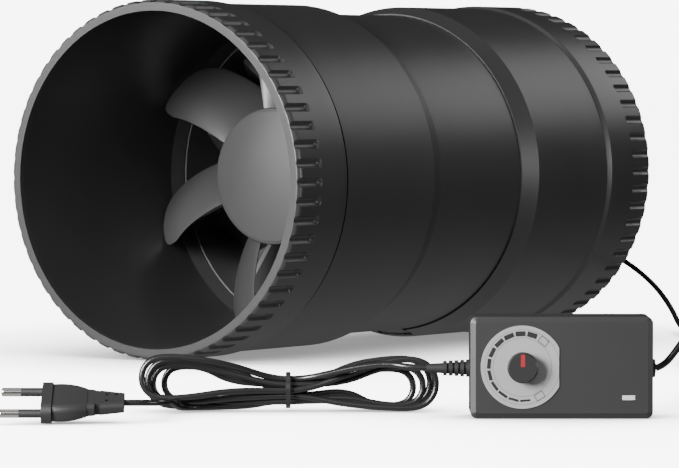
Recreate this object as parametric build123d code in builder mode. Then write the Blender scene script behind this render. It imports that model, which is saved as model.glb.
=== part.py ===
"""Inline duct fan for 200 mm round duct, with its low-voltage mains adapter and leads.

Millimetres, +Z up. The fan lies on its two collars with its axis along +X, the way the air
flows. The origin is on the floor under the middle of the fan. Distances called "along" are
measured from the inlet face. The adapter, hank and plug lie beside the fan on their own turned
layout, whose sideways direction is SIDE and whose depth is BEHIND.
"""
import math
import os

from build123d import *

os.makedirs("parts", exist_ok=True)

# Fan casing
LENGTH = 365.0
COLLAR_R = 99.0
BODY_R = 97.5
BORE_R = 92.8
COLLAR_LENGTH = 48.0
LIP = 3.0
SPIGOT_R = 96.0
STEP_RAMP = 3.2
FRONT_R = 95.6
FRONT_TAPER = 5.0
OUTLET_R = 98.9
FLUTES = 60
FLUTE_LENGTH = 20.5
FLUTE_R = 3.0
FLUTE_DEPTH = 1.6

# Waist between the two casings
WAIST_R = 92.5
WAIST_BORE_R = 89.5
FRONT_FLANK = (132.6, 146.6)
THROAT = (140.0, 148.0)
REAR_FLANK = (229.8, 241.8)
SPIGOT_END = 262.0
SEAL = 1.0
SLIP = 0.1
REAR_BORE_R = 91.2
LATCH_ANGLES = (-90, 30)
LATCH_WIDTH = 24.0
LATCH_ARC = 14.0

# Impeller and motor
BLADES = 7
TIP_R = 91.6
HUB_R = 39.0
HUB_WALL = 2.4
HUB_FACE = 111.5
HUB_END = 150.0
DOME = 3.0
BLADE_THICKNESS = 2.0
SHAFT_R = 4.0
SHAFT_SLACK = 0.02
BEARING_R = 8.0
BEARING_WIDTH = 5.0
TEETH = 9
MOUNT_FACE = 152.0
MOUNT_R = 38.5
MOUNT_END = 204.0
VANES = 11
VANE = (166.0, 198.0)
VANE_TILT = 36.0
VANE_THICKNESS = 2.0
RING_WALL = 1.0

# Cable gland on the far side of the rear casing
GLAND_ALONG = 290.0
GLAND_SIZE = 18.0
GLAND_REACH = 14.5
GLAND_RELIEF = 24.0

# Adapter
TURN = 34.92
ADAPTER_AT = (-399.8, -400.7)
ADAPTER_W = 83.5
ADAPTER_H = 46.5
ADAPTER_D = 30.0
ADAPTER_SPLIT = 14.0
ADAPTER_WALL = 2.0
ADAPTER_BEVEL = 2.4
DIAL_AT = (-18.1, 0.3)
DIAL_R = 19.0
DIAL_CHORD = 16.8
DIAL_THICKNESS = 0.5
SCALE_R = 15.3
SCALE_MARKS = 11
KNOB_R = 7.0
KNOB_H = 6.0
KNOB_GAP = 0.5
LEAD_EXIT_H = -1.0
LEAD_EXIT_DEPTH = 13.0
MAINS_RELIEF = 20.0
DC_RELIEF = 2.0
HANK_AT = (-125.6, 50.0)
TIE_WIDTH = 2.2

# Leads and plug
DC_D = 3.2
MAINS_D = 3.0
PLUG_ROLL = 27.0
PIN_R = 2.0
PIN_LENGTH = 19.0
PIN_SPACING = 18.6
PLUG_H = 8.85
PLUG_AT = (-236.0, -21.4)

AXIS_H = COLLAR_R
FAN_AXIS = Axis((0, 0, AXIS_H), (1, 0, 0))
SIDE = Vector(math.sin(math.radians(TURN)), -math.cos(math.radians(TURN)), 0)
BEHIND = Vector(math.cos(math.radians(TURN)), math.sin(math.radians(TURN)), 0)
UP = Vector(0, 0, 1)
pieces = {}


def section(points):
    """Points (along, radius) on the upright plane through the fan's axis, for a revolve."""
    return [(along - LENGTH / 2, AXIS_H + radius) for along, radius in points]


def turned(points, arc=360.0):
    """A ring or disc turned about the fan's axis from a closed (along, radius) outline."""
    with BuildPart() as ring:
        with BuildSketch(Plane.XZ):
            with BuildLine():
                Polyline(*section(points), close=True)
            make_face()
        revolve(axis=FAN_AXIS, revolution_arc=arc)
    return ring


def tube_between(start, end, outer, inner):
    """A plain tube about the fan's axis."""
    return turned([(start, inner), (start, outer), (end, outer), (end, inner)])


def across(along):
    """Plane square to the fan's axis. Local x is level, local y is up, facing down the duct."""
    return Plane(origin=(along - LENGTH / 2, 0, AXIS_H), x_dir=(0, 1, 0), z_dir=(1, 0, 0))


def beside(side, behind, height):
    """A point of the adapter's layout: sideways and behind the middle of its face, above floor."""
    return Vector(*ADAPTER_AT, 0) + SIDE * side + BEHIND * behind + UP * height


def adapter_plane(depth):
    """Plane parallel to the adapter's face at that depth in it, facing out of the face."""
    return Plane(origin=beside(0, depth, ADAPTER_H / 2), x_dir=SIDE, z_dir=-BEHIND)


def adapter_end(side, along):
    """Plane square to the adapter's length where a lead leaves it."""
    spot = beside(side, LEAD_EXIT_DEPTH, ADAPTER_H / 2 + LEAD_EXIT_H)
    return Plane(origin=spot, x_dir=BEHIND, z_dir=along)


def lead(name, route, diameter):
    """A round lead along straight runs joined by tangent arcs as large as the runs allow."""
    points = [Vector(*p) for p in route]
    radii = []
    for before, here, after in zip(points, points[1:], points[2:]):
        runs = ((here - before).length, (after - here).length)
        turn = math.radians((here - before).get_angle(after - here))
        radii.append(0.45 * min(runs) / math.tan(turn / 2))
    with BuildPart() as tube:
        with BuildLine() as path:
            FilletPolyline(*points, radius=radii)
        with BuildSketch(Plane(origin=path.line @ 0, z_dir=path.line % 0)):
            Circle(diameter / 2)
        sweep()
    share = tube.part.volume / (path.wire().length * math.pi * diameter**2 / 4)
    print(f"{name}: {path.wire().length:.0f} mm long, volume share {share:.4f}, radii in diameters",
          " ".join(f"{r / diameter:.1f}" for r in radii))
    return tube


# Collars, fluted at the end that a duct is pushed over. The outlet one is a shade smaller.
for name, radius in (("inlet_collar", COLLAR_R), ("outlet_collar", OUTLET_R)):
    with BuildPart() as collar:
        add(turned([
            (0, BORE_R), (0, FRONT_R), (FRONT_TAPER, radius), (COLLAR_LENGTH - STEP_RAMP, radius),
            (COLLAR_LENGTH, BODY_R + 0.1), (COLLAR_LENGTH, SPIGOT_R), (LIP, SPIGOT_R), (LIP, BORE_R),
        ]).part)
        with BuildSketch(across(0)):
            with PolarLocations(radius + FLUTE_R - FLUTE_DEPTH, FLUTES, start_angle=180 / FLUTES):
                Circle(FLUTE_R)
        extrude(amount=FLUTE_LENGTH, mode=Mode.SUBTRACT)
    pieces[name] = collar

with BuildPart() as outlet_collar:
    add(mirror(pieces["outlet_collar"].part, about=Plane.YZ))
pieces["outlet_collar"] = outlet_collar

# Casings. The front one carries the waist, and its spigot goes into the rear one.
pieces["front_casing"] = turned([
    (LIP, BORE_R), (LIP, SPIGOT_R), (COLLAR_LENGTH, SPIGOT_R), (COLLAR_LENGTH, BODY_R),
    (FRONT_FLANK[0], BODY_R), (FRONT_FLANK[1], WAIST_R), (SPIGOT_END, WAIST_R),
    (SPIGOT_END, WAIST_BORE_R), (THROAT[1], WAIST_BORE_R), (THROAT[0], BORE_R),
])

with BuildPart() as rear_casing:
    add(turned([
        (REAR_FLANK[0], WAIST_R + SLIP), (REAR_FLANK[0], WAIST_R + 0.9), (REAR_FLANK[1], BODY_R),
        (LENGTH - COLLAR_LENGTH, BODY_R), (LENGTH - COLLAR_LENGTH, SPIGOT_R),
        (LENGTH - LIP, SPIGOT_R), (LENGTH - LIP, BORE_R), (LENGTH - 60, BORE_R),
        (LENGTH - 76, REAR_BORE_R), (SPIGOT_END + SEAL, REAR_BORE_R),
        (SPIGOT_END + SEAL, WAIST_R + SLIP),
    ]).part)
    with BuildSketch(across(REAR_FLANK[0] - 1)):
        for angle in LATCH_ANGLES:
            with PolarLocations(WAIST_R + 3, 1, start_angle=angle):
                Rectangle(8, LATCH_WIDTH)
    extrude(amount=10, mode=Mode.SUBTRACT)
    with BuildSketch(Plane(origin=(GLAND_ALONG - LENGTH / 2, 0, AXIS_H), z_dir=(0, 1, 0))):
        Circle(5)
    extrude(amount=COLLAR_R, mode=Mode.SUBTRACT)
pieces["rear_casing"] = rear_casing

# Sprung latches on the spigot that lock the rear casing, in its notches.
latch = turned([
    (REAR_FLANK[0] - 3, WAIST_R), (REAR_FLANK[0] - 1, WAIST_R + 1),
    (REAR_FLANK[0] + 7, WAIST_R + 2.6), (REAR_FLANK[0] + 7, WAIST_R),
], LATCH_ARC)
with BuildPart() as casing_latches:
    for angle in LATCH_ANGLES:
        add(latch.part.rotate(FAN_AXIS, angle - 90 - LATCH_ARC / 2))
pieces["casing_latches"] = casing_latches

pieces["casing_seal"] = tube_between(SPIGOT_END, SPIGOT_END + SEAL, WAIST_R, WAIST_BORE_R + 1.8)


def blade_section(radius):
    """(plane, four corners and two crests) of one blade's curved plate at that radius."""
    share = (radius - HUB_R) / (TIP_R - HUB_R)
    lead_angle = 152.5 + 6 * share - 8 * share * (1 - share)
    trail_angle = 116 + 23 * share
    lead_along = 114 + 6 * share * share
    trail_along = 146 - 7.5 * share
    middle = math.radians((lead_angle + trail_angle) / 2)
    half = math.radians(lead_angle - trail_angle) / 2 * radius
    out = Vector(0, -math.cos(middle), math.sin(middle))
    plane = Plane(
        origin=Vector(-LENGTH / 2, 0, AXIS_H) + out * radius, x_dir=(1, 0, 0), z_dir=out
    )
    thick = BLADE_THICKNESS * (1.25 - 0.5 * share)
    crest = ((lead_along + trail_along) / 2 - 2.6, -1.5)
    return plane, (lead_along, half), crest, (trail_along, -half), thick


with BuildPart() as blade:
    for radius in (HUB_R - 3.5, 52, 66, 80, TIP_R + 1.5):
        plane, front, crest, back, thick = blade_section(radius)
        with BuildSketch(plane):
            with BuildLine():
                upper = ThreePointArc(front, crest, back)
                lower = ThreePointArc(
                    (front[0] + thick, front[1]),
                    (crest[0] + thick, crest[1] + thick / 2),
                    (back[0] + thick, back[1]),
                )
                Line(upper @ 0, lower @ 0)
                Line(upper @ 1, lower @ 1)
            make_face()
    loft()
    with BuildSketch(Plane.XZ):
        with BuildLine():
            Polyline(*section([
                (HUB_FACE, HUB_R - 1.2), (HUB_FACE, TIP_R), (HUB_END, TIP_R), (HUB_END, HUB_R - 1.2)
            ]), close=True)
        make_face()
    revolve(axis=FAN_AXIS, mode=Mode.INTERSECT)

with BuildPart() as impeller:
    add(turned([
        (HUB_FACE, 12), (HUB_FACE, HUB_R - 1.4), (HUB_FACE + 1.4, HUB_R), (HUB_END, HUB_R),
        (HUB_END, HUB_R - HUB_WALL), (HUB_FACE + 2.5, HUB_R - HUB_WALL), (HUB_FACE + 2.5, 12),
    ]).part)
    for k in range(BLADES):
        add(blade.part.rotate(FAN_AXIS, k * 360 / BLADES))
pieces["impeller"] = impeller

# Rotor: everything that turns with the impeller.
hub_cap = turned([
    (HUB_FACE, 0), (HUB_FACE, HUB_R - 1.6), (HUB_FACE - 0.6, HUB_R - 1.6),
    *[(HUB_FACE - 0.6 - (DOME - 0.6) * math.cos(math.pi / 2 * k / 8) ** 0.8,
       (HUB_R - 2.6) * k / 8) for k in range(8, -1, -1)],
])
pieces["hub_cap"] = hub_cap

ROTOR_R = HUB_R - HUB_WALL - 0.1
CUP_FACE = HUB_FACE + 2.5
BUSH_R = 9.0
pieces["rotor_cup"] = turned([
    (CUP_FACE, BUSH_R), (CUP_FACE, ROTOR_R), (CUP_FACE + 34, ROTOR_R),
    (CUP_FACE + 34, ROTOR_R - 1.4), (CUP_FACE + 1.4, ROTOR_R - 1.4), (CUP_FACE + 1.4, BUSH_R),
])
pieces["rotor_bush"] = tube_between(CUP_FACE, CUP_FACE + 7, BUSH_R, SHAFT_R)
pieces["rotor_magnets"] = tube_between(CUP_FACE + 3, CUP_FACE + 31, ROTOR_R - 1.4, ROTOR_R - 4.9)
pieces["motor_shaft"] = turned([
    (CUP_FACE, 0), (CUP_FACE, SHAFT_R), (185, SHAFT_R), (186, SHAFT_R - 1), (186, 0)
])
pieces["shaft_clip"] = tube_between(166, 167.2, SHAFT_R + 3, SHAFT_R)

# Stator and bearings, fixed to the motor mount.
STATOR_R = ROTOR_R - 5.6
TUBE_R = 11.0
with BuildPart() as stator_core:
    with BuildSketch(across(122)):
        Circle(STATOR_R)
        Circle(STATOR_R - 4, mode=Mode.SUBTRACT)
        Circle(TUBE_R + 3)
        with PolarLocations(20.5, TEETH):
            Rectangle(15, 7)
        with PolarLocations(STATOR_R - 2, TEETH, start_angle=180 / TEETH):
            Rectangle(6, 3, mode=Mode.SUBTRACT)
        Circle(TUBE_R, mode=Mode.SUBTRACT)
    extrude(amount=20)
pieces["stator_core"] = stator_core

with BuildPart() as stator_windings:
    with BuildSketch(across(119)):
        with PolarLocations(20.5, TEETH):
            Rectangle(11, 10.2)
    extrude(amount=26)
    with BuildSketch(across(121.9)):
        with PolarLocations(20.5, TEETH):
            Rectangle(12, 7.2)
    extrude(amount=20.2, mode=Mode.SUBTRACT)
pieces["stator_windings"] = stator_windings

for name, start in (("front_bearing", 124), ("rear_bearing", 160)):
    pieces[name] = tube_between(start, start + BEARING_WIDTH, BEARING_R, SHAFT_R + SHAFT_SLACK)

RING_R = WAIST_BORE_R - 0.1
VANE_ROOT = RING_R - RING_WALL
pieces["motor_cup"] = turned([
    (122, BEARING_R), (122, TUBE_R), (MOUNT_FACE, TUBE_R), (MOUNT_FACE, MOUNT_R),
    (MOUNT_END, MOUNT_R), (MOUNT_END, MOUNT_R - 2.5), (MOUNT_FACE + 3, MOUNT_R - 2.5),
    (MOUNT_FACE + 3, TUBE_R), (168, TUBE_R), (168, BEARING_R),
])
pieces["vane_ring"] = tube_between(THROAT[1] + 1, VANE[1] + 2, RING_R, VANE_ROOT)

# Straightening vanes from the cup to the ring, tilted against the swirl.
with BuildPart() as guide_vanes:
    with Locations(Location(((VANE[0] + VANE[1] - LENGTH) / 2, 0, AXIS_H), (0, 90, 0))):
        with PolarLocations((MOUNT_R + VANE_ROOT) / 2, VANES):
            Box(VANE_ROOT - MOUNT_R + 4, VANE_THICKNESS, VANE[1] - VANE[0] + 12,
                rotation=(VANE_TILT, 0, 0))
    add(tube_between(VANE[0], VANE[1], VANE_ROOT, MOUNT_R).part, mode=Mode.INTERSECT)
pieces["guide_vanes"] = guide_vanes

pieces["driver_board"] = tube_between(157, 158.6, MOUNT_R - 2.5, TUBE_R + 1)
with BuildPart() as driver_parts:
    with BuildSketch(across(158.6)):
        with PolarLocations(24, 6):
            Rectangle(7, 5)
    extrude(amount=4)
    with BuildSketch(across(158.6)):
        with PolarLocations(24, 3, start_angle=30):
            Circle(3.2)
    extrude(amount=9)
pieces["driver_parts"] = driver_parts

pieces["tail_cover"] = turned([
    (MOUNT_END, 0), (MOUNT_END, MOUNT_R), (MOUNT_END + 4, MOUNT_R), (MOUNT_END + 11, MOUNT_R - 9),
    (MOUNT_END + 14, MOUNT_R - 20), (MOUNT_END + 15, 0),
])

LEAD_WALL_R = WAIST_BORE_R - 2.0
with BuildPart() as internal_lead:
    with BuildLine() as inner_path:
        across_x = MOUNT_END - 4 - LENGTH / 2
        out_x = GLAND_ALONG - LENGTH / 2
        FilletPolyline(
            (across_x, MOUNT_R, AXIS_H), (across_x, LEAD_WALL_R, AXIS_H),
            (out_x, LEAD_WALL_R, AXIS_H), (out_x, SPIGOT_R - 0.5, AXIS_H), radius=[9, 6],
        )
    with BuildSketch(Plane(origin=inner_path.line @ 0, z_dir=(0, 1, 0))):
        Circle(1.5)
    sweep()
pieces["internal_lead"] = internal_lead


# Cable gland, moulded square, with the ribbed relief pointing down the duct.
def relief(plane, length, base_r, tip_r, ribs, rib_width):
    """A tapered strain relief with raised ribs over its first part."""
    pitch = rib_width * 1.6
    with BuildPart(plane) as sleeve:
        Cone(base_r * 0.78, tip_r, length, align=(Align.CENTER, Align.CENTER, Align.MIN))
        for k in range(ribs):
            with Locations((0, 0, k * pitch)):
                Cylinder(base_r * (1 - 0.04 * k), rib_width,
                         align=(Align.CENTER, Align.CENTER, Align.MIN))
    return sleeve


GLAND_X = GLAND_ALONG - LENGTH / 2
GLAND_Y = COLLAR_R + GLAND_REACH - GLAND_SIZE / 2
with BuildPart() as cable_gland:
    with BuildSketch(Plane(origin=(GLAND_X, BODY_R - 3, AXIS_H), z_dir=(0, 1, 0))):
        RectangleRounded(GLAND_SIZE, GLAND_SIZE, 3)
    extrude(amount=COLLAR_R + GLAND_REACH - BODY_R + 3)
    fillet(cable_gland.faces().sort_by(Axis.Y)[-1].edges(), 2)
    with BuildSketch(Plane.YZ.offset(GLAND_X - GLAND_SIZE)):
        with Locations((0, AXIS_H)):
            Circle(BODY_R)
    extrude(amount=2 * GLAND_SIZE, mode=Mode.SUBTRACT)
    with BuildSketch(Plane(origin=(GLAND_X, SPIGOT_R - 0.5, AXIS_H), z_dir=(0, 1, 0))):
        Circle(5)
    extrude(amount=4)
pieces["cable_gland"] = cable_gland
GLAND_END = Plane(origin=(GLAND_X + GLAND_SIZE / 2, GLAND_Y, AXIS_H), z_dir=(1, 0, 0))
pieces["gland_relief"] = relief(GLAND_END, GLAND_RELIEF, 4.6, DC_D / 2 + 0.6, 4, 2.2)


# Adapter shells. The front one carries the dial, and four screws come in from the back.
POSTS = [(side, up) for side in (-36.5, 36.5) for up in (-17.5, 17.5)]
DIAL_PLANE = adapter_plane(0)
LED_AT = (30.5, -13.7)


with BuildPart() as lead_holes:
    for side, along in ((-ADAPTER_W / 2, -SIDE), (ADAPTER_W / 2, SIDE)):
        with BuildSketch(adapter_end(side, along).offset(-4)):
            Circle(2.5)
        extrude(amount=8)

with BuildPart() as adapter_front_shell:
    with BuildSketch(adapter_plane(0)):
        RectangleRounded(ADAPTER_W, ADAPTER_H, 3)
    extrude(amount=-ADAPTER_SPLIT)
    chamfer(adapter_front_shell.faces().sort_by(Axis((0, 0, 0), -BEHIND))[-1].edges(),
            ADAPTER_BEVEL / 2, ADAPTER_BEVEL)
    with BuildSketch(adapter_plane(ADAPTER_WALL)):
        RectangleRounded(ADAPTER_W - 2 * ADAPTER_WALL, ADAPTER_H - 2 * ADAPTER_WALL, 1.5)
    extrude(amount=-ADAPTER_SPLIT, mode=Mode.SUBTRACT)
    with BuildSketch(adapter_plane(ADAPTER_WALL)):
        with Locations(*POSTS):
            Circle(3.2)
    extrude(amount=ADAPTER_WALL - ADAPTER_SPLIT)
    with BuildSketch(adapter_plane(6)):
        with Locations(*POSTS):
            Circle(1.3)
    extrude(amount=-ADAPTER_SPLIT, mode=Mode.SUBTRACT)
    with BuildSketch(adapter_plane(0)):
        with Locations(DIAL_AT):
            Circle(3.7)
        with Locations(LED_AT):
            Rectangle(5.8, 2.1)
    extrude(amount=-ADAPTER_WALL - 1, mode=Mode.SUBTRACT)
    add(lead_holes.part, mode=Mode.SUBTRACT)
pieces["adapter_front_shell"] = adapter_front_shell

with BuildPart() as adapter_rear_shell:
    with BuildSketch(adapter_plane(ADAPTER_SPLIT)):
        RectangleRounded(ADAPTER_W, ADAPTER_H, 3)
    extrude(amount=ADAPTER_SPLIT - ADAPTER_D)
    fillet(adapter_rear_shell.faces().sort_by(Axis((0, 0, 0), BEHIND))[-1].edges(), 1.8)
    with BuildSketch(adapter_plane(ADAPTER_SPLIT)):
        RectangleRounded(ADAPTER_W - 2 * ADAPTER_WALL, ADAPTER_H - 2 * ADAPTER_WALL, 1.5)
    extrude(amount=ADAPTER_SPLIT - ADAPTER_D + ADAPTER_WALL, mode=Mode.SUBTRACT)
    with BuildSketch(adapter_plane(ADAPTER_SPLIT)):
        with Locations(*POSTS):
            Circle(3.2)
    extrude(amount=ADAPTER_SPLIT - ADAPTER_D + ADAPTER_WALL)
    with BuildSketch(adapter_plane(ADAPTER_SPLIT)):
        with Locations(*POSTS):
            Circle(1.3)
    extrude(amount=-ADAPTER_D, mode=Mode.SUBTRACT)
    with BuildSketch(adapter_plane(ADAPTER_D - 1.4)):
        with Locations(*POSTS):
            Circle(2.6)
    extrude(amount=-2, mode=Mode.SUBTRACT)
    add(lead_holes.part, mode=Mode.SUBTRACT)
pieces["adapter_rear_shell"] = adapter_rear_shell

with BuildPart() as adapter_screws:
    with BuildSketch(adapter_plane(6.5)):
        with Locations(*POSTS):
            Circle(1.3)
    extrude(amount=6.5 - ADAPTER_D + 0.4)
    with BuildSketch(adapter_plane(ADAPTER_D - 1.4)):
        with Locations(*POSTS):
            Circle(2.5)
    extrude(amount=-1.1)
    with BuildSketch(adapter_plane(ADAPTER_D)):
        with Locations(*POSTS):
            Rectangle(3, 0.7)
            Rectangle(0.7, 3)
    extrude(amount=1, mode=Mode.SUBTRACT)
pieces["adapter_screws"] = adapter_screws

# Speed dial: a D-shaped plate, its printed marks, and a knob on the potentiometer's shaft.
with BuildPart() as dial_plate:
    with BuildSketch(adapter_plane(0)):
        with Locations(DIAL_AT):
            Circle(DIAL_R)
            with Locations((DIAL_CHORD + DIAL_R, 0)):
                Rectangle(2 * DIAL_R, 2 * DIAL_R, mode=Mode.SUBTRACT)
            Circle(3.7, mode=Mode.SUBTRACT)
    extrude(amount=DIAL_THICKNESS)
pieces["dial_plate"] = dial_plate

with BuildPart() as dial_scale:
    with BuildSketch(adapter_plane(-DIAL_THICKNESS)):
        for k in range(SCALE_MARKS):
            angle = 73 + 20.2 * k
            width = 2.4 - 0.15 * k
            spot = Vector(*DIAL_AT) + Vector(SCALE_R, 0).rotate(Axis.Z, angle)
            with Locations(Location((spot.X, spot.Y, 0), angle)):
                Rectangle(width, 4.6)
        for angle in (51, 301):
            spot = Vector(*DIAL_AT) + Vector(SCALE_R, 0).rotate(Axis.Z, angle)
            with Locations(Location((spot.X, spot.Y, 0), angle)):
                Rectangle(3.2, 4.4)
                Rectangle(2.7, 3.9, mode=Mode.SUBTRACT)
    extrude(amount=0.12)
pieces["dial_scale"] = dial_scale

with BuildPart() as potentiometer:
    with BuildSketch(adapter_plane(9)):
        with Locations(DIAL_AT):
            Circle(8)
            with Locations((0, -9)):
                Rectangle(12, 5)
    extrude(amount=6.8)
    with BuildSketch(adapter_plane(9)):
        with Locations(DIAL_AT):
            Circle(3.6)
    extrude(amount=9)
    with BuildSketch(adapter_plane(6)):
        with Locations(DIAL_AT):
            Circle(3.05)
    extrude(amount=7, mode=Mode.SUBTRACT)
pieces["potentiometer"] = potentiometer

KNOB_BACK = DIAL_THICKNESS + KNOB_GAP
with BuildPart() as speed_knob:
    with BuildSketch(adapter_plane(-KNOB_BACK)):
        with Locations(DIAL_AT):
            Circle(KNOB_R)
    extrude(amount=KNOB_H)
    chamfer(speed_knob.faces().sort_by(Axis((0, 0, 0), -BEHIND))[-1].edges(), 0.6)
    with BuildSketch(adapter_plane(-KNOB_BACK)):
        with Locations(DIAL_AT):
            Circle(3)
    extrude(amount=KNOB_H - 1.6, mode=Mode.SUBTRACT)
    with BuildSketch(adapter_plane(-KNOB_BACK - KNOB_H + 0.6)):
        with Locations((DIAL_AT[0], DIAL_AT[1] + 3.3)):
            Rectangle(1.9, 5.6)
    extrude(amount=1, mode=Mode.SUBTRACT)
pieces["speed_knob"] = speed_knob

with BuildPart() as knob_pointer:
    with BuildSketch(adapter_plane(-KNOB_BACK - KNOB_H + 0.6)):
        with Locations((DIAL_AT[0], DIAL_AT[1] + 3.3)):
            Rectangle(1.9, 5.6)
    extrude(amount=0.7)
pieces["knob_pointer"] = knob_pointer

with BuildPart() as knob_shaft:
    with BuildSketch(adapter_plane(5.5)):
        with Locations(DIAL_AT):
            Circle(3)
    extrude(amount=5.5 + KNOB_BACK + KNOB_H - 1.6)
pieces["knob_shaft"] = knob_shaft

# Adapter insides, on a board behind the dial.
BOARD = 23.0
with BuildPart() as adapter_board:
    with BuildSketch(adapter_plane(BOARD)):
        Rectangle(64, 38)
    extrude(amount=-1.6)
pieces["adapter_board"] = adapter_board

with BuildPart() as transformer_core:
    with BuildSketch(adapter_plane(BOARD)):
        with Locations((12, 4)):
            Rectangle(20, 22)
            Rectangle(14, 13, mode=Mode.SUBTRACT)
            Rectangle(5, 22)
    extrude(amount=11)
pieces["transformer_core"] = transformer_core

with BuildPart() as transformer_winding:
    with BuildSketch(adapter_plane(BOARD)):
        with Locations((12, 4)):
            Rectangle(14, 13)
            Rectangle(5, 14, mode=Mode.SUBTRACT)
    extrude(amount=10.5)
pieces["transformer_winding"] = transformer_winding

with BuildPart() as adapter_capacitors:
    with BuildSketch(adapter_plane(BOARD)):
        with Locations((-25, 10)):
            Circle(5.5)
        with Locations((-11, 12)):
            Circle(4)
    extrude(amount=12.5)
pieces["adapter_capacitors"] = adapter_capacitors

with BuildPart() as heat_sink:
    with BuildSketch(adapter_plane(BOARD)):
        with Locations((-6, -14)):
            Rectangle(34, 1.4)
        for k in range(6):
            with Locations((-21 + 6 * k, -11.5)):
                Rectangle(1.2, 4)
    extrude(amount=12)
pieces["heat_sink"] = heat_sink

with BuildPart() as status_led:
    with BuildSketch(adapter_plane(BOARD)):
        with Locations(*[(LED_AT[0] + step, LED_AT[1]) for step in (-0.9, 0.9)]):
            Rectangle(0.5, 0.5)
    extrude(amount=BOARD - 5)
    with BuildSketch(adapter_plane(6)):
        with Locations(LED_AT):
            Rectangle(4, 2)
    extrude(amount=3.4)
pieces["status_led"] = status_led

with BuildPart() as led_window:
    with BuildSketch(adapter_plane(2.6)):
        with Locations(LED_AT):
            Rectangle(5.8, 2.1)
    extrude(amount=2.75)
pieces["led_window"] = led_window

for name, side, along, length, base_r, tip_r, ribs in (
    ("mains_relief", -ADAPTER_W / 2, -SIDE, MAINS_RELIEF, 4.0, MAINS_D / 2 + 0.5, 5),
    ("dc_relief", ADAPTER_W / 2, SIDE, DC_RELIEF, 4.2, DC_D / 2 + 0.6, 1),
):
    sleeve = relief(adapter_end(side, along), length, base_r, tip_r, ribs, 1.65)
    with BuildPart() as fitted:
        add(sleeve.part)
        with BuildSketch(adapter_end(side, along)):
            Circle(2.5)
        extrude(amount=-ADAPTER_WALL)
        with BuildSketch(adapter_end(side, along).offset(-ADAPTER_WALL)):
            Circle(3.4)
        extrude(amount=-1.2)
    pieces[name] = fitted

# Leads. The low-voltage one goes round behind the outlet and along the floor to the adapter.
LEAD_H = ADAPTER_H / 2 + LEAD_EXIT_H
FLOOR_H = DC_D / 2 + 0.1
DC_START = (GLAND_X + GLAND_SIZE / 2 + GLAND_RELIEF, GLAND_Y, AXIS_H)
DC_END = beside(ADAPTER_W / 2 + DC_RELIEF, LEAD_EXIT_DEPTH, LEAD_H)
DC_ROUTE = [
    DC_START, (172, GLAND_Y, AXIS_H), (206, 104, 95), (238, 92, 87), (262, 70, 77), (276, 40, 65),
    (281, 8, 52), (277, -25, 39), (262, -54, 26), (238, -80, 14), (208, -104, 4.5),
    (172, -131, FLOOR_H), (133, -160, FLOOR_H), (91, -187, FLOOR_H), (46, -211, FLOOR_H),
    (0, -231.5, FLOOR_H), (-43, -255.5, FLOOR_H), (-84, -282.5, FLOOR_H), (-124, -311.5, FLOOR_H),
    (-166, -338, FLOOR_H), (-210, -360, FLOOR_H), (-252, -380, FLOOR_H),
    *[tuple(beside(*p)) for p in (
        (68.5, 114, 1.9), (67.5, 99, 3.6), (65.5, 86, 8.5), (64.2, 75, 16.5), (63, 66, 27),
        (62.5, 58, 36.5), (62.5, 48, 44.5), (63, 37, 47.5), (64, 26, 45), (64, 17.5, 38.5),
        (61, 13.8, 30.5), (55, LEAD_EXIT_DEPTH, 24.3), (48, LEAD_EXIT_DEPTH, LEAD_H))],
    tuple(DC_END),
]
pieces["dc_lead"] = lead("dc_lead", DC_ROUTE, DC_D)

# Hank of the mains lead, as the closed shape of its two lobes and the tied middle.
HANK_LOBES = [(-66, 12, 9, 13), (-57, 30, 19, 12), (-38, 42, 23, 12.2), (-15, 24, 18, 10.5),
              (0, 15.6, 15.6, 9.5), (15, 24, 18, 10.5), (36, 42, 23, 12.2), (52, 30, 20, 12.5),
              (60, 14, 10, 14)]
with BuildPart() as mains_hank:
    for step, wide, high, middle in HANK_LOBES:
        spot = beside(HANK_AT[0] + step, HANK_AT[1], middle)
        with BuildSketch(Plane(origin=spot, x_dir=BEHIND, z_dir=SIDE)):
            Ellipse(wide / 2, high / 2)
    loft()
pieces["mains_hank"] = mains_hank

TIE_PLANE = Plane(origin=beside(HANK_AT[0] - TIE_WIDTH / 2, HANK_AT[1], 9.5), x_dir=BEHIND, z_dir=SIDE)
with BuildPart() as hank_tie:
    with BuildSketch(TIE_PLANE):
        Circle(8.5)
        Circle(7.7, mode=Mode.SUBTRACT)
    extrude(amount=TIE_WIDTH)
pieces["hank_tie"] = hank_tie

MAINS_ROUTE = [
    beside(-ADAPTER_W / 2 - MAINS_RELIEF, LEAD_EXIT_DEPTH, LEAD_H), beside(-70.5, 13.2, LEAD_H),
    beside(-79, 18, 21.6), beside(-86, 28, 19.8), beside(-89, 42, 17),
]
pieces["mains_lead"] = lead("mains_lead", [tuple(p) for p in MAINS_ROUTE], MAINS_D)

# Plug, rolled on its corner as it lies, with its long axis along SIDE.
FLANGE = (26.0, 10.0, 4.7)
PLUG_BODY = 20.5
PLUG_END = 37.2
roll = math.radians(PLUG_ROLL)
PLUG_FACE = Plane(
    origin=beside(*PLUG_AT, PLUG_H),
    x_dir=BEHIND * math.cos(roll) + UP * math.sin(roll),
    z_dir=SIDE,
)
PINS = [(-PIN_SPACING / 2, 0), (PIN_SPACING / 2, 0)]

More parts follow.
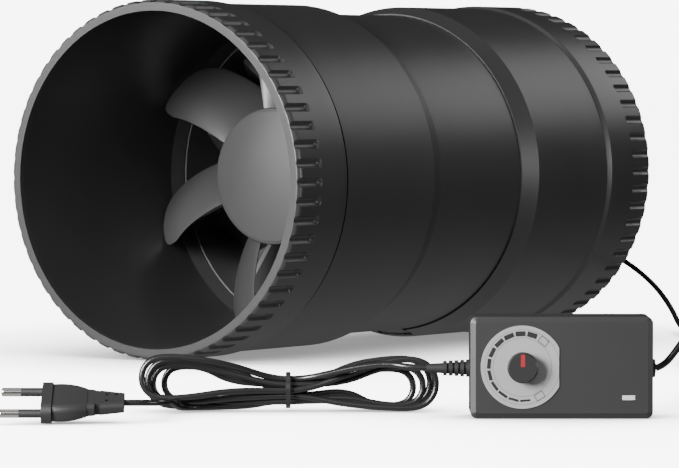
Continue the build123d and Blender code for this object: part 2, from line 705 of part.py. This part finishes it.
with BuildPart() as plug_body:
    with BuildSketch(PLUG_FACE):
        RectangleRounded(FLANGE[0], FLANGE[1], 4.5)
    extrude(amount=FLANGE[2])
    for height, wide, thick in ((FLANGE[2], 23.0, 8.6), (14.0, 22.5, 8.2), (PLUG_BODY, 18.0, 6.8)):
        with BuildSketch(PLUG_FACE.offset(height)):
            RectangleRounded(wide, thick, 3.2)
    loft()
    with BuildSketch(PLUG_FACE):
        with Locations(*PINS):
            Circle(1.6)
    extrude(amount=8, mode=Mode.SUBTRACT)
pieces["plug_body"] = plug_body

with BuildPart() as plug_relief:
    for height, wide, thick in ((PLUG_BODY, 17.0, 6.4), (PLUG_END, 12.0, 5.2)):
        with BuildSketch(PLUG_FACE.offset(height)):
            RectangleRounded(wide, thick, 2.4)
    loft()
    with BuildSketch(PLUG_FACE.offset(PLUG_BODY + 3.5)):
        with Locations((-8.6, 0), (8.6, 0)):
            Rectangle(6, 8)
    extrude(amount=2.4, mode=Mode.SUBTRACT)
    for up, aside in ((8.2, 2.6), (8.2, -2.6), (12.4, 3.0)):
        with BuildSketch(PLUG_FACE.offset(PLUG_BODY + up)):
            with Locations((aside, 0)):
                Rectangle(1.5, 8)
        extrude(amount=1.5, mode=Mode.SUBTRACT)
pieces["plug_relief"] = plug_relief

with BuildPart() as plug_pins:
    with BuildSketch(PLUG_FACE.offset(-PIN_LENGTH)):
        with Locations(*PINS):
            Circle(PIN_R)
    extrude(amount=PIN_LENGTH - 10)
    fillet(plug_pins.edges().group_by(Axis((0, 0, 0), SIDE))[0], 1.0)
    with BuildSketch(PLUG_FACE.offset(-10)):
        with Locations(*PINS):
            Circle(1.6)
    extrude(amount=18)
pieces["plug_pins"] = plug_pins

with BuildPart() as pin_sleeves:
    with BuildSketch(PLUG_FACE):
        with Locations(*PINS):
            Circle(PIN_R)
            Circle(1.6, mode=Mode.SUBTRACT)
    extrude(amount=-10)
pieces["pin_sleeves"] = pin_sleeves

PLUG_LEAD = [
    (PLUG_AT[0] + PLUG_END, PLUG_AT[1], PLUG_H), (-193.3, -21.4, PLUG_H), (-188.1, -19.3, 8.7),
    (-184.1, -15.4, 8.4), (-181.6, -9.9, 8.1), (-180.6, 4, 7.6), (-180, 18, 7.3),
    (-178.5, 33, 7.8), (-176, 45, 8.6),
]
pieces["plug_lead"] = lead("plug_lead", [tuple(beside(*p)) for p in PLUG_LEAD], MAINS_D)

for name, piece in pieces.items():
    piece.part.label = name
    export_step(piece.part, f"parts/{name}.step")
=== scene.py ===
import math

import bmesh
import bpy
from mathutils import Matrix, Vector


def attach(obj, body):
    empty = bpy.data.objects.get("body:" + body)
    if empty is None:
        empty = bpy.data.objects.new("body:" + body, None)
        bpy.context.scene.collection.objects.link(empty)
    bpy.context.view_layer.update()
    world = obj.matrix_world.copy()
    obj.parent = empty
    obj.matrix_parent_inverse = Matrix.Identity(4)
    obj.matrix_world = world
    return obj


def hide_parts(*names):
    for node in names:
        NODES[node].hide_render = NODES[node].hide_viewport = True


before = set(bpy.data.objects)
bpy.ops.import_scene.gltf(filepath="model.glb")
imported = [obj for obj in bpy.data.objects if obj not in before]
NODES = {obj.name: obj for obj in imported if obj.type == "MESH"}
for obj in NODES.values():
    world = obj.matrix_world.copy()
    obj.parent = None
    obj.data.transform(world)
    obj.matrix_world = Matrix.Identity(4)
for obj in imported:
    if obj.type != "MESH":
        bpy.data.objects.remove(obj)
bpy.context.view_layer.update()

# Sizes and places, in metres. The adapter, hank and plug have their own turned layout.
MM = 0.001
LENGTH = 0.365
AXIS_H = 0.099
TURN = math.radians(34.92)
SIDE = Vector((math.sin(TURN), -math.cos(TURN), 0))
BEHIND = Vector((math.cos(TURN), math.sin(TURN), 0))
UP = Vector((0, 0, 1))
ADAPTER = Vector((-0.3998, -0.4007, 0))
ADAPTER_H = 46.5
DIAL_AT = (-18.1, 0.3)
HANK = (-125.6, 50.0)


def beside(side, behind, height):
    """A point of the turned layout, given in millimetres."""
    return ADAPTER + (SIDE * side + BEHIND * behind + UP * height) * MM


def on_face(right, up, out=0.0):
    """A point on the adapter's face, in millimetres from the face's middle."""
    return beside(right, -out, ADAPTER_H / 2 + up)


# Camera
camera = bpy.data.objects.new("camera", bpy.data.cameras.new("camera"))
camera.data.lens = 236.1
camera.data.sensor_width = 36.0
camera.data.clip_end = 200.0
camera.location = (-2.1224, -1.4794, 0.158475)
tilt = math.radians(2.09)
camera.rotation_mode = "QUATERNION"
gaze = BEHIND * math.cos(tilt) - UP * math.sin(tilt)
camera.rotation_quaternion = gaze.to_track_quat("-Z", "Y")
bpy.context.scene.collection.objects.link(camera)
bpy.context.scene.camera = camera


# Node trees, written as expressions
class Wire:
    """One socket of a node tree, so that sums on it read as Python."""

    def __init__(self, tree, socket):
        self.tree, self.socket = tree, socket

    def math(self, operation, *others, flip=False):
        node = self.tree.nodes.new("ShaderNodeMath")
        node.operation = operation
        values = [self, *others]
        for socket, value in zip(node.inputs, values[::-1] if flip else values):
            feed(self.tree, socket, value)
        return Wire(self.tree, node.outputs[0])

    def __add__(self, other):
        return self.math("ADD", other)

    def __sub__(self, other):
        return self.math("SUBTRACT", other)

    def __mul__(self, other):
        return self.math("MULTIPLY", other)

    def __truediv__(self, other):
        return self.math("DIVIDE", other)

    def __pow__(self, other):
        return self.math("POWER", other)

    def __rsub__(self, other):
        return self.math("SUBTRACT", other, flip=True)

    def __rtruediv__(self, other):
        return self.math("DIVIDE", other, flip=True)

    __radd__ = __add__
    __rmul__ = __mul__


def feed(tree, socket, value):
    """Link a wire to a socket, or set the socket to a plain value."""
    if isinstance(value, Wire):
        tree.links.new(value.socket, socket)
    elif value is not None:
        socket.default_value = value


class Tree:
    """A node tree and the one method that adds a node to it."""

    def __init__(self, tree):
        self.tree = tree

    def node(self, kind, inputs=None, out=0, stops=None, **settings):
        node = self.tree.nodes.new(kind)
        for name, value in settings.items():
            setattr(node, name, value)
        if stops:
            ramp = node.color_ramp.elements
            while len(ramp) < len(stops):
                ramp.new(0.5)
            for element, (place, grey) in zip(ramp, stops):
                element.position = place
                element.color = (grey, grey, grey, 1)
        for name, value in (inputs or {}).items():
            feed(self.tree, node.inputs[name], value)
        return Wire(self.tree, node.outputs[out]) if node.outputs else node

    def mix(self, share, a, b):
        return self.node("ShaderNodeMix", {0: share, 6: a, 7: b}, out=2, data_type="RGBA")

    def noise(self, place, scale, detail=2.0):
        return self.node("ShaderNodeTexNoise", {"Vector": place, "Scale": scale, "Detail": detail})


class Finish(Tree):
    """A procedural material. Uniform values go on the shader's own sockets."""

    def __init__(self, name, **uniform):
        self.material = bpy.data.materials.new(name)
        self.material.use_nodes = True
        super().__init__(self.material.node_tree)
        self.shader = self.tree.nodes["Principled BSDF"]
        for socket, value in uniform.items():
            self.shader.inputs[socket.replace("_", " ")].default_value = value
        self.place = self.node("ShaderNodeTexCoord", out="Object")

    def feed(self, name, value):
        feed(self.tree, self.shader.inputs[name], value)

    def bump(self, height, distance, strength=1.0):
        self.feed("Normal", self.node("ShaderNodeBump", {
            "Height": height, "Distance": distance, "Strength": strength}))


def rgb(red, green=None, blue=None):
    return (red, red if green is None else green, red if blue is None else blue, 1.0)


def moulded(name, dark, light, roughness, grain=0.0004, relief=0.00001):
    """Moulded plastic with an eroded grain, faint flow mottling and handled patches."""
    skin = Finish(name)
    fine = skin.noise(skin.place, 1 / grain, 3)
    broad = skin.noise(skin.place, 22, 3)
    handled = skin.node("ShaderNodeValToRGB", {"Fac": skin.noise(skin.place, 9, 2)},
                        stops=[(0.42, 0), (0.68, 1)])
    skin.feed("Base Color", skin.mix(broad * 0.7 + fine * 0.3, dark, light))
    skin.feed("Roughness", roughness + (fine - 0.5) * 0.10 - handled * 0.04)
    skin.bump(fine, relief)
    return skin.material


def metal(name, colour, roughness, scratch):
    """Drawn or turned metal with fine scratches and slight staining."""
    skin = Finish(name, Metallic=1.0)
    drawn = skin.node("ShaderNodeMapping", {"Vector": skin.place, "Scale": (1, 1, 12)})
    lines = skin.noise(drawn, 600, 4)
    stain = skin.noise(skin.place, 60, 3)
    skin.feed("Base Color", skin.mix(stain, colour, tuple(c * 0.8 for c in colour[:3]) + (1,)))
    skin.feed("Roughness", roughness + (lines - 0.5) * 0.18)
    skin.bump(lines, scratch)
    return skin.material


casing = moulded("casing_black", rgb(0.022), rgb(0.031), 0.42)
collar = moulded("collar_black", rgb(0.026), rgb(0.035), 0.38)
wheel = moulded("impeller_grey", rgb(0.033), rgb(0.042), 0.40, grain=0.0006)
mount = moulded("mount_grey", rgb(0.045), rgb(0.055), 0.45)
adapter = moulded("adapter_black", rgb(0.012), rgb(0.017), 0.50, grain=0.0003, relief=0.00002)
knob_black = moulded("knob_black", rgb(0.012), rgb(0.016), 0.42, grain=0.0003)
plug_black = moulded("plug_black", rgb(0.014), rgb(0.020), 0.48, grain=0.0003)
rubber = moulded("seal_rubber", rgb(0.005), rgb(0.008), 0.7)
sheath = moulded("lead_black", rgb(0.009), rgb(0.014), 0.27, grain=0.0007, relief=0.00002)
tie_black = moulded("tie_black", rgb(0.012), rgb(0.02), 0.3)
print_black = moulded("print_black", rgb(0.002), rgb(0.004), 0.8, relief=0.000002)
pointer_red = moulded("pointer_red", rgb(0.20, 0.004, 0.008), rgb(0.28, 0.008, 0.012), 0.5,
                      relief=0.000003)
lens = moulded("led_white", rgb(0.42, 0.42, 0.43), rgb(0.50, 0.50, 0.51), 0.3, relief=0.000002)
component = moulded("component_black", rgb(0.03), rgb(0.05), 0.35)
magnet = moulded("magnet_grey", rgb(0.05), rgb(0.08), 0.6)
nickel = metal("pin_nickel", rgb(0.80, 0.79, 0.76), 0.2, 0.000001)
steel = metal("bright_steel", rgb(0.60, 0.60, 0.62), 0.3, 0.000002)
alloy = metal("alloy", rgb(0.68, 0.69, 0.70), 0.4, 0.000003)


def banded(name, colour, gap, pitch, direction, metallic, roughness):
    """Laminations or wound wire, as ridges at a fixed pitch."""
    skin = Finish(name, Metallic=metallic, Roughness=roughness)
    bands = skin.node("ShaderNodeTexWave", {
        "Vector": skin.place, "Scale": 0.314 / pitch / 2, "Distortion": 0.4, "Detail": 1.0,
    }, bands_direction=direction, wave_profile="SIN")
    skin.feed("Base Color", skin.mix(bands, gap, colour))
    skin.bump(bands, pitch * 0.15)
    return skin.material


lamination = banded("lamination", rgb(0.40, 0.40, 0.42), rgb(0.12), 0.0005, "X", 1.0, 0.4)
copper = banded("copper_wire", rgb(0.72, 0.33, 0.17), rgb(0.25, 0.09, 0.04), 0.0006, "X", 1.0, 0.3)

board = Finish("circuit_board", Roughness=0.35)
tracks = board.node("ShaderNodeTexVoronoi", {"Vector": board.place, "Scale": 260.0},
                    distance="MANHATTAN", feature="DISTANCE_TO_EDGE")
track_mask = board.node("ShaderNodeValToRGB", {"Fac": tracks}, stops=[(0.06, 1), (0.10, 0)])
board.feed("Base Color", board.mix(track_mask, rgb(0.01, 0.09, 0.035), rgb(0.03, 0.18, 0.07)))
board.bump(track_mask, 0.00003)

# Dial plate: printed silver with a turned grain and two fine rings about the knob
dial_silver = Finish("dial_silver", Metallic=0.55)
dial_centre = on_face(*DIAL_AT)
from_knob = dial_silver.node("ShaderNodeVectorMath", {
    0: dial_silver.place, 1: tuple(dial_centre)}, operation="DISTANCE", out="Value")
turned_grain = dial_silver.node("ShaderNodeTexNoise", {
    "W": from_knob * 9000, "Scale": 1.0, "Detail": 2.0}, noise_dimensions="1D")
cloud = dial_silver.noise(dial_silver.place, 120, 2)
ring_gap = (from_knob * 1000 - 15.3).math("ABSOLUTE") - 1.9
ring = 1 - (ring_gap.math("ABSOLUTE") * 5).math("MINIMUM", 1.0)
dial_silver.feed("Base Color", dial_silver.mix(ring * 0.7, dial_silver.mix(
    turned_grain * 0.5 + cloud * 0.5, rgb(0.42, 0.42, 0.425), rgb(0.50, 0.50, 0.505)), rgb(0.06)))
dial_silver.feed("Roughness", 0.38 + (turned_grain - 0.5) * 0.2)
dial_silver.bump(turned_grain, 0.000004)
dial_silver = dial_silver.material

FINISHES = {
    casing: "front_casing rear_casing casing_latches cable_gland",
    collar: "inlet_collar outlet_collar",
    wheel: "impeller hub_cap",
    mount: "motor_cup vane_ring guide_vanes tail_cover",
    rubber: "casing_seal gland_relief dc_relief mains_relief",
    sheath: "internal_lead dc_lead mains_lead mains_hank plug_lead",
    plug_black: "plug_body plug_relief pin_sleeves",
    adapter: "adapter_front_shell adapter_rear_shell",
    knob_black: "speed_knob",
    component: "knob_shaft potentiometer driver_parts adapter_capacitors",
    dial_silver: "dial_plate",
    print_black: "dial_scale",
    pointer_red: "knob_pointer",
    lens: "led_window status_led",
    tie_black: "hank_tie",
    nickel: "plug_pins",
    steel: "rotor_cup motor_shaft shaft_clip front_bearing rear_bearing adapter_screws",
    alloy: "rotor_bush heat_sink",
    lamination: "stator_core transformer_core",
    copper: "stator_windings transformer_winding",
    magnet: "rotor_magnets",
    board.material: "driver_board adapter_board",
}
for material, names in FINISHES.items():
    for name in names.split():
        mesh = NODES[name].data
        mesh.materials.clear()
        mesh.materials.append(material)


# Meshes
def link(name, mesh, material, smooth=True, angle=40):
    """A finished piece with its place in its mesh."""
    if smooth:
        mesh.shade_smooth()
        mesh.set_sharp_from_angle(angle=math.radians(angle))
    mesh.materials.clear()
    mesh.materials.append(material)
    piece = bpy.data.objects.new(name, mesh)
    bpy.context.scene.collection.objects.link(piece)
    return piece


def stand_in(piece, body, slot, *nodes):
    """A piece that rides on a body in place of its CAD nodes."""
    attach(piece, body)
    if nodes:
        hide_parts(*nodes)
    return piece


def skin_of(loops, capped=True, closed=False):
    """A mesh over a row of point loops, all of one count, with end caps or a closed row."""
    work = bmesh.new()
    rows = [[work.verts.new(p) for p in loop] for loop in loops]
    pairs = list(zip(rows, rows[1:])) + ([(rows[-1], rows[0])] if closed else [])
    for a, b in pairs:
        for k in range(len(a)):
            n = (k + 1) % len(a)
            work.faces.new((a[k], a[n], b[n], b[k]))
    if capped and not closed:
        work.faces.new(rows[0][::-1])
        work.faces.new(rows[-1])
    bmesh.ops.remove_doubles(work, verts=work.verts, dist=1e-7)
    bmesh.ops.recalc_face_normals(work, faces=work.faces)
    mesh = bpy.data.meshes.new("skin")
    work.to_mesh(mesh)
    work.free()
    return mesh


def lathe(outline, count=256):
    """A ring turned about the fan's axis from a closed (along, radius) outline in millimetres."""
    loops = []
    for along, radius in outline:
        x = along * MM - LENGTH / 2
        loops.append([(x, -radius * MM * math.cos(a), AXIS_H + radius * MM * math.sin(a))
                      for a in (2 * math.pi * k / count for k in range(count))])
    return skin_of(loops, closed=True)


def eased(points):
    """An outline with rounded corners. Each point is (along, radius) or (along, radius, ease)."""
    line = []
    for k, point in enumerate(points):
        here = Vector(point[:2])
        ease = point[2] if len(point) > 2 else 0
        if not ease:
            line.append(tuple(here))
            continue
        before = Vector(points[k - 1][:2])
        after = Vector(points[(k + 1) % len(points)][:2])
        start = here + (before - here).normalized() * min(ease, (before - here).length / 2)
        end = here + (after - here).normalized() * min(ease, (after - here).length / 2)
        for i in range(7):
            t = i / 6
            line.append(tuple(start * (1 - t) ** 2 + here * 2 * t * (1 - t) + end * t * t))
    return line


# Geometry Nodes: flutes pressed into a turned collar
def flute_tree():
    """A node tree that presses round-ended flutes into a turned collar."""
    group = bpy.data.node_groups.new("flutes", "GeometryNodeTree")
    for name, kind in (("Geometry", "Geometry"), ("Count", "Float"), ("Width", "Float"),
                       ("Depth", "Float"), ("Length", "Float"), ("Edge", "Float"),
                       ("Facing", "Float"), ("Radius", "Float"), ("Finish", "Material")):
        group.interface.new_socket(name, in_out="INPUT", socket_type=f"NodeSocket{kind}")
    group.interface.new_socket("Geometry", in_out="OUTPUT", socket_type="NodeSocketGeometry")
    tree = Tree(group)
    entry = group.nodes.new("NodeGroupInput")
    given = {socket.name: Wire(group, socket) for socket in entry.outputs}
    parts = group.nodes.new("ShaderNodeSeparateXYZ")
    place = tree.node("GeometryNodeInputPosition")
    feed(group, parts.inputs[0], place)
    x, y, z = (Wire(group, parts.outputs[k]) for k in range(3))
    z = z - AXIS_H
    radius = (y * y + z * z).math("SQRT")
    angle = z.math("ARCTAN2", y)
    pitch = 2 * math.pi / given["Count"]
    phase = (angle / pitch + 0.5).math("FRACT") - 0.5
    across = phase * pitch * given["Radius"]
    past = ((x - given["Edge"]) * given["Facing"] - given["Length"]).math("MAXIMUM", 0.0)
    share = (across * across + past * past) / (given["Width"] * given["Width"])
    hollow = (1 - share).math("MAXIMUM", 0.0).math("SQRT")
    wanted = radius.math("MINIMUM", given["Radius"] - given["Depth"] * hollow)
    scale = wanted / radius
    moved = tree.node("ShaderNodeCombineXYZ", {"X": x, "Y": y * scale, "Z": z * scale + AXIS_H})
    pressed = tree.node("GeometryNodeSetPosition", {
        "Geometry": given["Geometry"], "Position": moved})
    real = tree.node("GeometryNodeRealizeInstances", {"Geometry": pressed})
    painted = tree.node("GeometryNodeSetMaterial", {"Geometry": real, "Material": given["Finish"]})
    leave = group.nodes.new("NodeGroupOutput")
    feed(group, leave.inputs[0], painted)
    return group


def grown(base, tree, values):
    """The plain mesh that a node tree makes of a base object, which is then removed."""
    modifier = base.modifiers.new("nodes", "NODES")
    modifier.node_group = tree
    keys = {s.name: s.identifier for s in tree.interface.items_tree if s.in_out == "INPUT"}
    for name, value in values.items():
        modifier[keys[name]] = value
    bpy.context.view_layer.update()
    graph = bpy.context.evaluated_depsgraph_get()
    mesh = bpy.data.meshes.new_from_object(base.evaluated_get(graph), depsgraph=graph)
    base.modifiers.remove(modifier)
    bpy.data.objects.remove(base)
    return mesh


flutes = flute_tree()
COLLAR_LINE = [(0, 92.8), (0, 95.4), (0, 97.4, 0.4), (0.7, 98.1), (1.5, 98.7, 0.4),
               (2.8, 99.0, 0.6), (5, 99), (8, 99), (11, 99), (14, 99), (16, 99)]
COLLAR_LINE += [(16.5 + 0.4 * k, 99.0) for k in range(15)]
COLLAR_LINE += [(26, 99), (35, 99), (44.6, 99.0, 0.5), (47.7, 96.9, 0.1), (47.7, 96), (30, 96),
                (3, 96), (3, 92.8)]
for name, edge, facing in (("inlet_collar", -LENGTH / 2, 1.0), ("outlet_collar", LENGTH / 2, -1.0)):
    line = eased(COLLAR_LINE)
    if facing < 0:
        line = [(365 - s, r - 0.1 if r > 97 else r) for s, r in line]
    blank = lathe(line, 720)
    base = link("blank", blank, collar)
    mesh = grown(base, flutes, {
        "Count": 60.0, "Width": 2.5 * MM, "Depth": 1.8 * MM, "Length": 18.2 * MM, "Edge": edge,
        "Facing": facing, "Radius": (99 if facing > 0 else 98.9) * MM, "Finish": collar})
    stand_in(link(f"fluted_{name}", mesh, collar, angle=32), "housing", "collar_black", name)

# Hub cap, a shallow dome
cap_line = [(111.5, 0.001), (111.5, 37.4)]
cap_line += [(111.4 - 0.55 * math.sin(math.pi / 12 * k), 36.9 + 0.5 * math.cos(math.pi / 12 * k))
             for k in range(7)]
cap_line += [(108.4 + 2.4 * (r / 36.9) ** 2, r) for r in (34, 30, 25, 19, 12, 6, 0.001)]
stand_in(link("domed_hub_cap", lathe(cap_line, 180), wheel, angle=25), "rotor", "impeller_grey",
         "hub_cap")

BLADES = 7
HUB_R, TIP_R, ROOT_R = 39, 91.5, 37.4


# Impeller: seven swept blades with rounded tips on a turned hub
def blade_loops(turn, chord=28, span=22):
    """Loops from root to tip, each round one blade's curved plate."""
    loops = []
    for i in range(span + 1):
        front, back = [], []
        for j in range(chord + 1):
            share = j / chord
            reach = TIP_R - 9.0 * abs(2 * share - 1) ** 7
            radius = ROOT_R + (reach - ROOT_R) * i / span
            out = (radius - HUB_R) / 52.6
            lead = 152.5 + 6 * out - 8 * out * (1 - out)
            trail = 113 + 23 * out
            angle = math.radians(lead + (trail - lead) * share + turn)
            start, end = 114 + 6 * out * out, 146 - 7.5 * out
            along = start + (end - start) * share - 5.2 * math.sin(math.pi * share) ** 0.9
            thick = (2.3 - 1.0 * out) * (0.25 + 0.75 * math.sin(math.pi * share) ** 0.5)
            if i == span:
                thick *= 0.55
            for side, shift in ((front, -thick / 2), (back, thick / 2)):
                side.append(((along + 1 + shift) * MM - LENGTH / 2, -radius * MM * math.cos(angle),
                             AXIS_H + radius * MM * math.sin(angle)))
        loops.append(front + back[::-1])
    return loops


hub_line = eased([(111.5, 12), (111.5, 39, 1.6), (150, 39, 0.4), (150, 36.6), (114, 36.6),
                  (114, 12)])
wheel_mesh = bmesh.new()
blades = [skin_of(blade_loops(k * 360 / BLADES)) for k in range(BLADES)]
for part in [lathe(hub_line, 180)] + blades:
    wheel_mesh.from_mesh(part)
    bpy.data.meshes.remove(part)
impeller_mesh = bpy.data.meshes.new("impeller")
wheel_mesh.to_mesh(impeller_mesh)
wheel_mesh.free()
stand_in(link("bladed_impeller", impeller_mesh, wheel, angle=50), "rotor", "impeller_grey",
         "impeller")


# Cords
DC_D, MAINS_D = 0.0032, 0.0030


def cord(name, points, diameter, material):
    """A cord whose centreline is a smooth spline that the points control."""
    curve = bpy.data.curves.new(name, "CURVE")
    curve.dimensions = "3D"
    curve.resolution_u = 10
    curve.bevel_depth = diameter / 2
    curve.bevel_resolution = 5
    curve.use_fill_caps = True
    spline = curve.splines.new("NURBS")
    spline.points.add(len(points) - 1)
    for control, point in zip(spline.points, points):
        control.co = (*point, 1)
    spline.order_u = 3
    spline.use_endpoint_u = True
    curve.materials.append(material)
    piece = bpy.data.objects.new(name, curve)
    bpy.context.scene.collection.objects.link(piece)
    return piece


DC_ROUTE = [
    (0.1405, 0.1045, 0.099), (0.172, 0.1045, 0.099), (0.206, 0.104, 0.095), (0.238, 0.092, 0.087),
    (0.262, 0.070, 0.077), (0.276, 0.040, 0.065), (0.281, 0.008, 0.052), (0.277, -0.025, 0.039),
    (0.262, -0.054, 0.026), (0.238, -0.080, 0.014), (0.208, -0.104, 0.0045),
    (0.172, -0.131, 0.0017), (0.133, -0.160, 0.0017), (0.091, -0.187, 0.0017),
    (0.046, -0.211, 0.0017), (0.0, -0.2315, 0.0017), (-0.043, -0.2555, 0.0017),
    (-0.084, -0.2825, 0.0017), (-0.124, -0.3115, 0.0017), (-0.166, -0.338, 0.0017),
    (-0.210, -0.360, 0.0017), (-0.252, -0.380, 0.0017),
    *[tuple(beside(*p)) for p in (
        (68.5, 114, 1.9), (67.5, 99, 3.6), (65.5, 86, 8.5), (64.2, 75, 16.5), (63, 66, 27),
        (62.5, 58, 36.5), (62.5, 48, 43.5), (63, 37, 46), (63, 27, 44.5), (60.5, 19, 40),
        (56.5, 14.5, 35), (51.8, 13, 28.6), (47.5, 13, 23.6), (43.75, 13, 22.25))],
]
dc_cord = cord("low_voltage_lead", DC_ROUTE, DC_D, sheath)

# Mains lead: out of its relief, nine times through the tie with a loop between, and on to the
# plug. Each point is (sideways, behind, height) in millimetres from the foot of the hank's middle.
# Loops: way, reach, behind, radius of the end, height of the foot, heights of the upper and the
# lower strand half way to the tie, whether it starts over the top
LOOPS = [(-1, 68, -12, 9.6, 6.6, 22.0, 9.8, True), (1, 69, -8, 11.4, 1.6, 16.6, 3.2, True),
         (-1, 63, -6, 8.6, 4.4, 17.6, 6.0, False), (1, 63, -2, 9.0, 2.6, 13.2, 6.6, True),
         (-1, 58, 0, 8.0, 4.6, 13.4, 3.6, False), (1, 58.5, 4, 8.6, 2.0, 16.8, 9.4, True),
         (-1, 66, 6, 11.0, 1.6, 19.4, 8.0, False), (1, 66.5, 9, 11.0, 1.6, 20.6, 4.4, True)]
TIED = [(-1.5, 14.8), (-4.6, 9.5), (-3.05, 6.85), (-3.05, 12.15), (-1.5, 4.2), (0, 12.15),
        (0, 6.85), (1.5, 9.5), (1.5, 4.2)]


def loop_points(way, reach, behind, radius, foot, upper, lower, over):
    """Control points round one end of the hank."""
    centre, middle = reach - radius, foot + radius
    corner = radius / math.cos(math.pi / 8)
    points = [(way * 27, behind * 0.7, upper), (way * (centre - 10), behind, middle + radius)]
    points += [(way * (centre + corner * math.cos(a)), behind, middle + corner * math.sin(a))
               for a in (math.pi * k / 8 for k in (3, 1, -1, -3))]
    points += [(way * (centre - 10), behind, middle - radius), (way * 27, behind * 0.7, lower)]
    return points if over else points[::-1]


HANK_LINE = [(63.85, -37, 22.25), (56, -36.8, 22.6), (48, -33, 23.8), (40, -25, 23),
             (29, -15, 20.6), (18, -7, 17.4)]
TIE_REACH = 7
for k, (back, high) in enumerate(TIED):
    heading = -1 if k % 2 == 0 else 1
    HANK_LINE += [(-TIE_REACH * heading, back, high), (TIE_REACH * heading, back, high)]
    if k < len(LOOPS):
        HANK_LINE += loop_points(*LOOPS[k])
HANK_LINE += [(-18, 1, 2.0), (-32, 0, 1.6), (-44, -3, 1.6), (-50, -10, 1.9), (-53, -20, 4.2),
              (-54.4, -32, 6.8), (-55, -46, 7.6), (-56, -59.9, 8.1), (-58.5, -65.4, 8.4),
              (-62.5, -69.3, 8.7), (-67.7, -71.4, 8.85), (-73.2, -71.4, 8.85)]
mains_cord = cord("mains_lead_line", [beside(HANK[0] + a, HANK[1] + b, h) for a, b, h in HANK_LINE],
                  MAINS_D, sheath)


def spline_length(piece):
    """Length of a cord along its centreline, in metres."""
    plain = piece.data.copy()
    plain.bevel_depth = 0
    probe = bpy.data.objects.new("probe", plain)
    bpy.context.scene.collection.objects.link(probe)
    graph = bpy.context.evaluated_depsgraph_get()
    line = bpy.data.meshes.new_from_object(probe.evaluated_get(graph), depsgraph=graph)
    total = sum((line.vertices[a].co - line.vertices[b].co).length for a, b in
                (edge.vertices for edge in line.edges))
    bpy.data.objects.remove(probe)
    return total


stand_in(dc_cord, "housing", "lead_black", "dc_lead")
stand_in(mains_cord, "housing", "lead_black", "mains_lead", "mains_hank", "plug_lead")
spline_length(dc_cord)
tuple(beside(-61.75, 13, 22.25))
spline_length(mains_cord)

# Floor and light. The floor's glow is darkened by ambient occlusion close to the objects, a painted
# contact shadow.
FLOOR_REACH = 60
floor_finish = Finish("pale_floor", Roughness=0.6, Emission_Strength=7.0)
floor_finish.feed("Base Color", floor_finish.mix(
    floor_finish.noise(floor_finish.place, 2.5, 2), rgb(0.60), rgb(0.62)))
# Painted contact shadow: the floor's emission is dimmed where ambient occlusion finds the objects
# near.
painted_shade_ao = floor_finish.node("ShaderNodeAmbientOcclusion", {"Distance": 0.22}, out="AO", samples=16)
floor_finish.feed("Emission Color", floor_finish.mix(painted_shade_ao ** 2.5, rgb(0.04), rgb(1.0)))
floor = link("floor", bpy.data.meshes.new("floor"), floor_finish.material, False)
plate = bmesh.new()
plate.faces.new([plate.verts.new((x * FLOOR_REACH, y * FLOOR_REACH, -0.0003))
                 for x, y in ((-1, -1), (1, -1), (1, 1), (-1, 1))])
plate.to_mesh(floor.data)
plate.free()
floor.visible_glossy = False
floor.visible_diffuse = False

world = bpy.data.worlds.new("studio")
bpy.context.scene.world = world
world.use_nodes = True
sky = Tree(world.node_tree)
direction = sky.node("ShaderNodeTexCoord", out="Generated")
rise = sky.node("ShaderNodeSeparateXYZ", {"Vector": direction}, out="Z")
glow = sky.node("ShaderNodeValToRGB", {"Fac": rise * 0.5 + 0.5},
                stops=[(0.10, 0.60), (0.28, 0.26), (0.40, 0.01), (0.58, 0.01), (0.80, 0.06)])
seen = sky.node("ShaderNodeLightPath", out="Is Camera Ray")
back = world.node_tree.nodes["Background"]
feed(world.node_tree, back.inputs["Color"], sky.mix(seen, glow, rgb(7.5)))


def softbox(name, place, target, width, height, power):
    """A rectangular light at a place, facing a target."""
    light = bpy.data.lights.new(name, "AREA")
    light.shape = "RECTANGLE"
    light.size, light.size_y, light.energy = width, height, power
    lamp = bpy.data.objects.new(name, light)
    lamp.location = place
    lamp.rotation_mode = "QUATERNION"
    lamp.rotation_quaternion = (Vector(target) - Vector(place)).to_track_quat("-Z", "Y")
    bpy.context.scene.collection.objects.link(lamp)


softbox("key", (-2.3, 0.05, 0.65), (-0.1, 0, 0.08), 0.9, 0.9, 170)
softbox("right", (1.15, -0.44, 0.73), (0, -0.05, 0.12), 0.9, 0.5, 3.2)
softbox("flank", (0.30, -2.0, 0.30), (0.08, 0, 0.10), 1.1, 0.5, 15)
softbox("top", (-0.3, -0.3, 1.9), (-0.15, -0.15, 0), 1.4, 1.4, 4)
softbox("rim", (-2.05, 1.45, 0.45), (-0.18, 0, 0.10), 0.5, 0.5, 14)
softbox("fill", (-1.9, -1.6, 1.1), (-0.3, -0.3, 0.05), 1.2, 1.2, 5)
